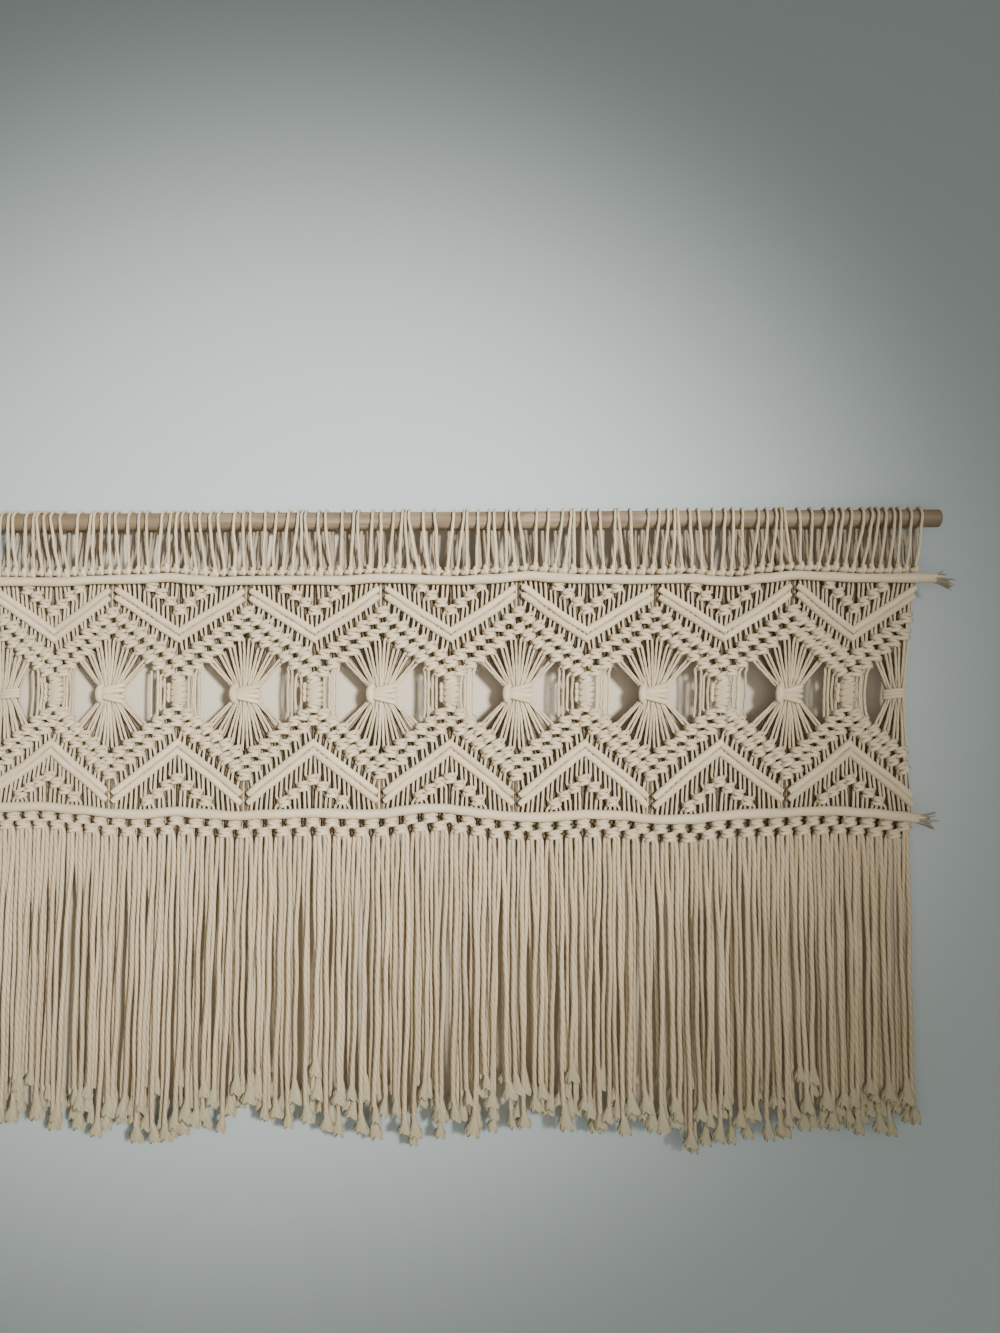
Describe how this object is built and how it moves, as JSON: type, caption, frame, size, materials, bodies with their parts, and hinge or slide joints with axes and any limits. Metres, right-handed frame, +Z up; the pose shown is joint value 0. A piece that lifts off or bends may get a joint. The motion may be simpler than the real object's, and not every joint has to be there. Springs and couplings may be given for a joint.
{
  "type": "macrame wall hanging on dowel rod",
  "caption": "Wide macrame hanging of cream cord on a plain wooden dowel: looped heading, zigzag bars, knotted stars and columns, thick edge ropes and a long brushed fringe.",
  "frame": {"origin": "middle of the rod's axis, where the wall hooks hold it", "axes": "+X along the rod to the right as the hanging is seen, +Y into the wall, +Z up"},
  "size_m": [1.4048, 0.0398, 0.8905],
  "materials": {
    "wood": "plain sanded softwood, unvarnished",
    "cotton_cord": "matte twisted cotton cord, natural cream",
    "cotton_rope": "matte smooth cotton rope, natural cream"
  },
  "bodies": {
    "root": {"rod": "wood", "heading": "cotton_cord", "top_rope": "cotton_rope", "panel": "cotton_cord", "bottom_rope": "cotton_rope", "fringe": "cotton_cord"}
  },
  "joints": []
}
